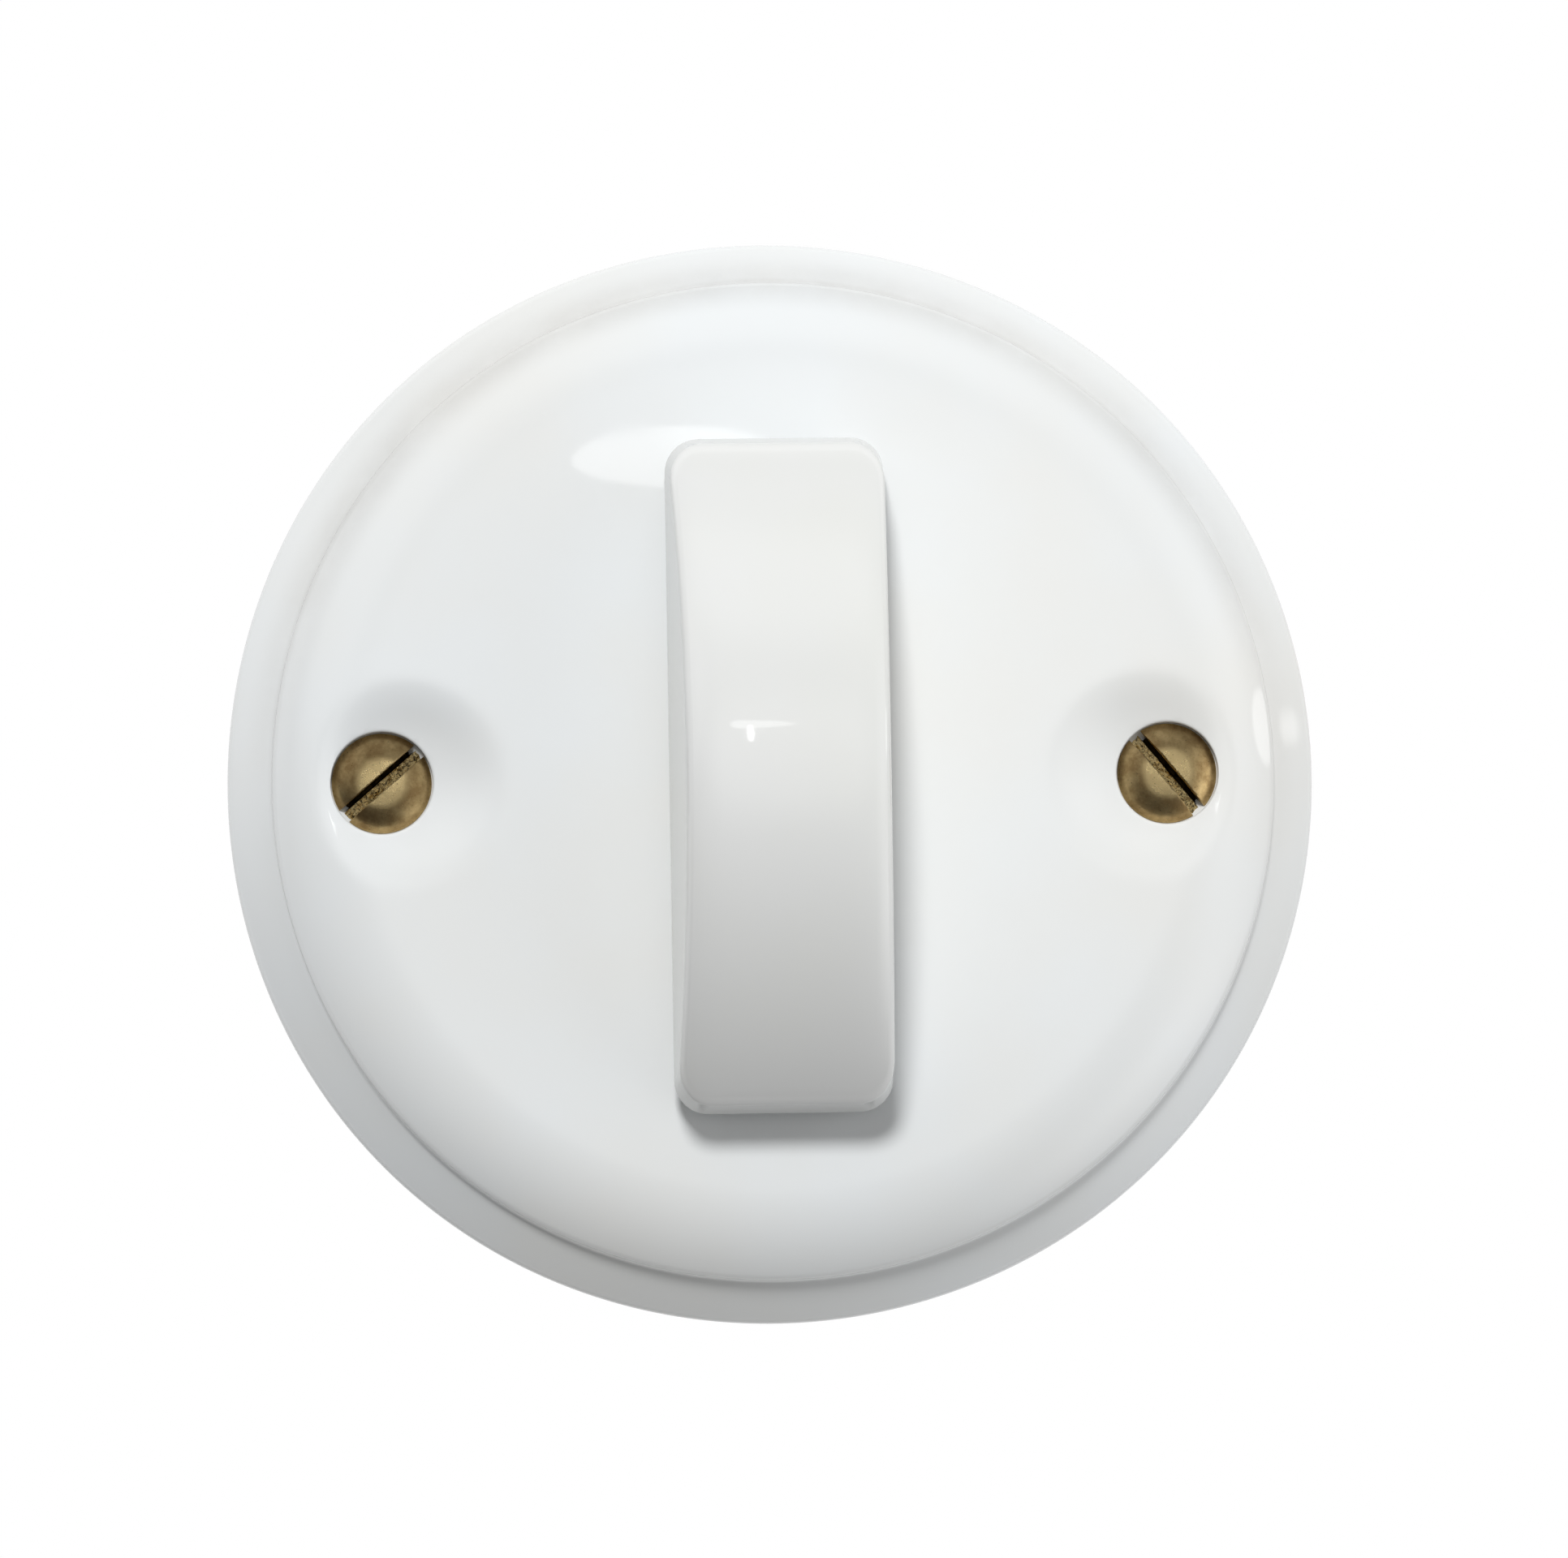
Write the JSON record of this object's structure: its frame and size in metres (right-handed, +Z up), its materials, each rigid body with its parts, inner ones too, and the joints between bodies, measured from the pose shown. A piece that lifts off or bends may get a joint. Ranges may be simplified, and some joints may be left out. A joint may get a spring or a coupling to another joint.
{
  "type": "rotary light switch",
  "caption": "Round flush rotary light switch: domed white porcelain plate with a stepped rim, arched bar knob, slotted brass screws, and a terminal base behind it.",
  "frame": {"origin": "on the switch axis, in the plane of the wall that the plate's rim lies on", "axes": "+Z up the wall along the bar knob at rest, +Y into the wall, the front faces -Y"},
  "size_m": [0.0834, 0.0546, 0.0834],
  "materials": {
    "glazed_porcelain": "gloss",
    "aged_brass": "satin",
    "brass": "satin",
    "zinc_plated_steel": "satin",
    "spring_steel": "satin",
    "spring_bronze": "satin",
    "steatite": "matte",
    "dark_moulding": "satin",
    "pressed_fibre": "matte"
  },
  "bodies": {
    "housing": {"cover_plate": "glazed_porcelain", "cover_screws": "aged_brass", "bearing_bush": "brass", "thrust_washer": "brass", "terminal_fixing_screws": "brass", "terminal_clamp_screws": "brass", "strap_nuts": "brass", "terminal_1": "brass", "terminal_2": "brass", "terminal_3": "brass", "terminal_4": "brass", "mounting_strap": "zinc_plated_steel", "strap_screws": "zinc_plated_steel", "detent_spring_upper": "spring_steel", "detent_spring_lower": "spring_steel", "contact_finger_1": "spring_bronze", "contact_finger_2": "spring_bronze", "contact_finger_3": "spring_bronze", "contact_finger_4": "spring_bronze", "switch_base": "steatite", "insulating_disc": "pressed_fibre"},
    "rotor": {"knob": "glazed_porcelain", "knob_insert": "brass", "knob_spring": "spring_steel", "spindle": "brass", "detent_cam": "dark_moulding", "contact_drum": "dark_moulding", "contact_segment_upper": "brass", "contact_segment_lower": "brass", "retaining_clip": "spring_steel"}
  },
  "joints": [
    {"name": "knob_turn", "type": "hinge", "parent": "housing", "child": "rotor", "pos_m": [0, 0, 0], "axis": [0, 1, 0], "continuous": true, "deforming": ["detent_spring_upper", "detent_spring_lower"]}
  ]
}
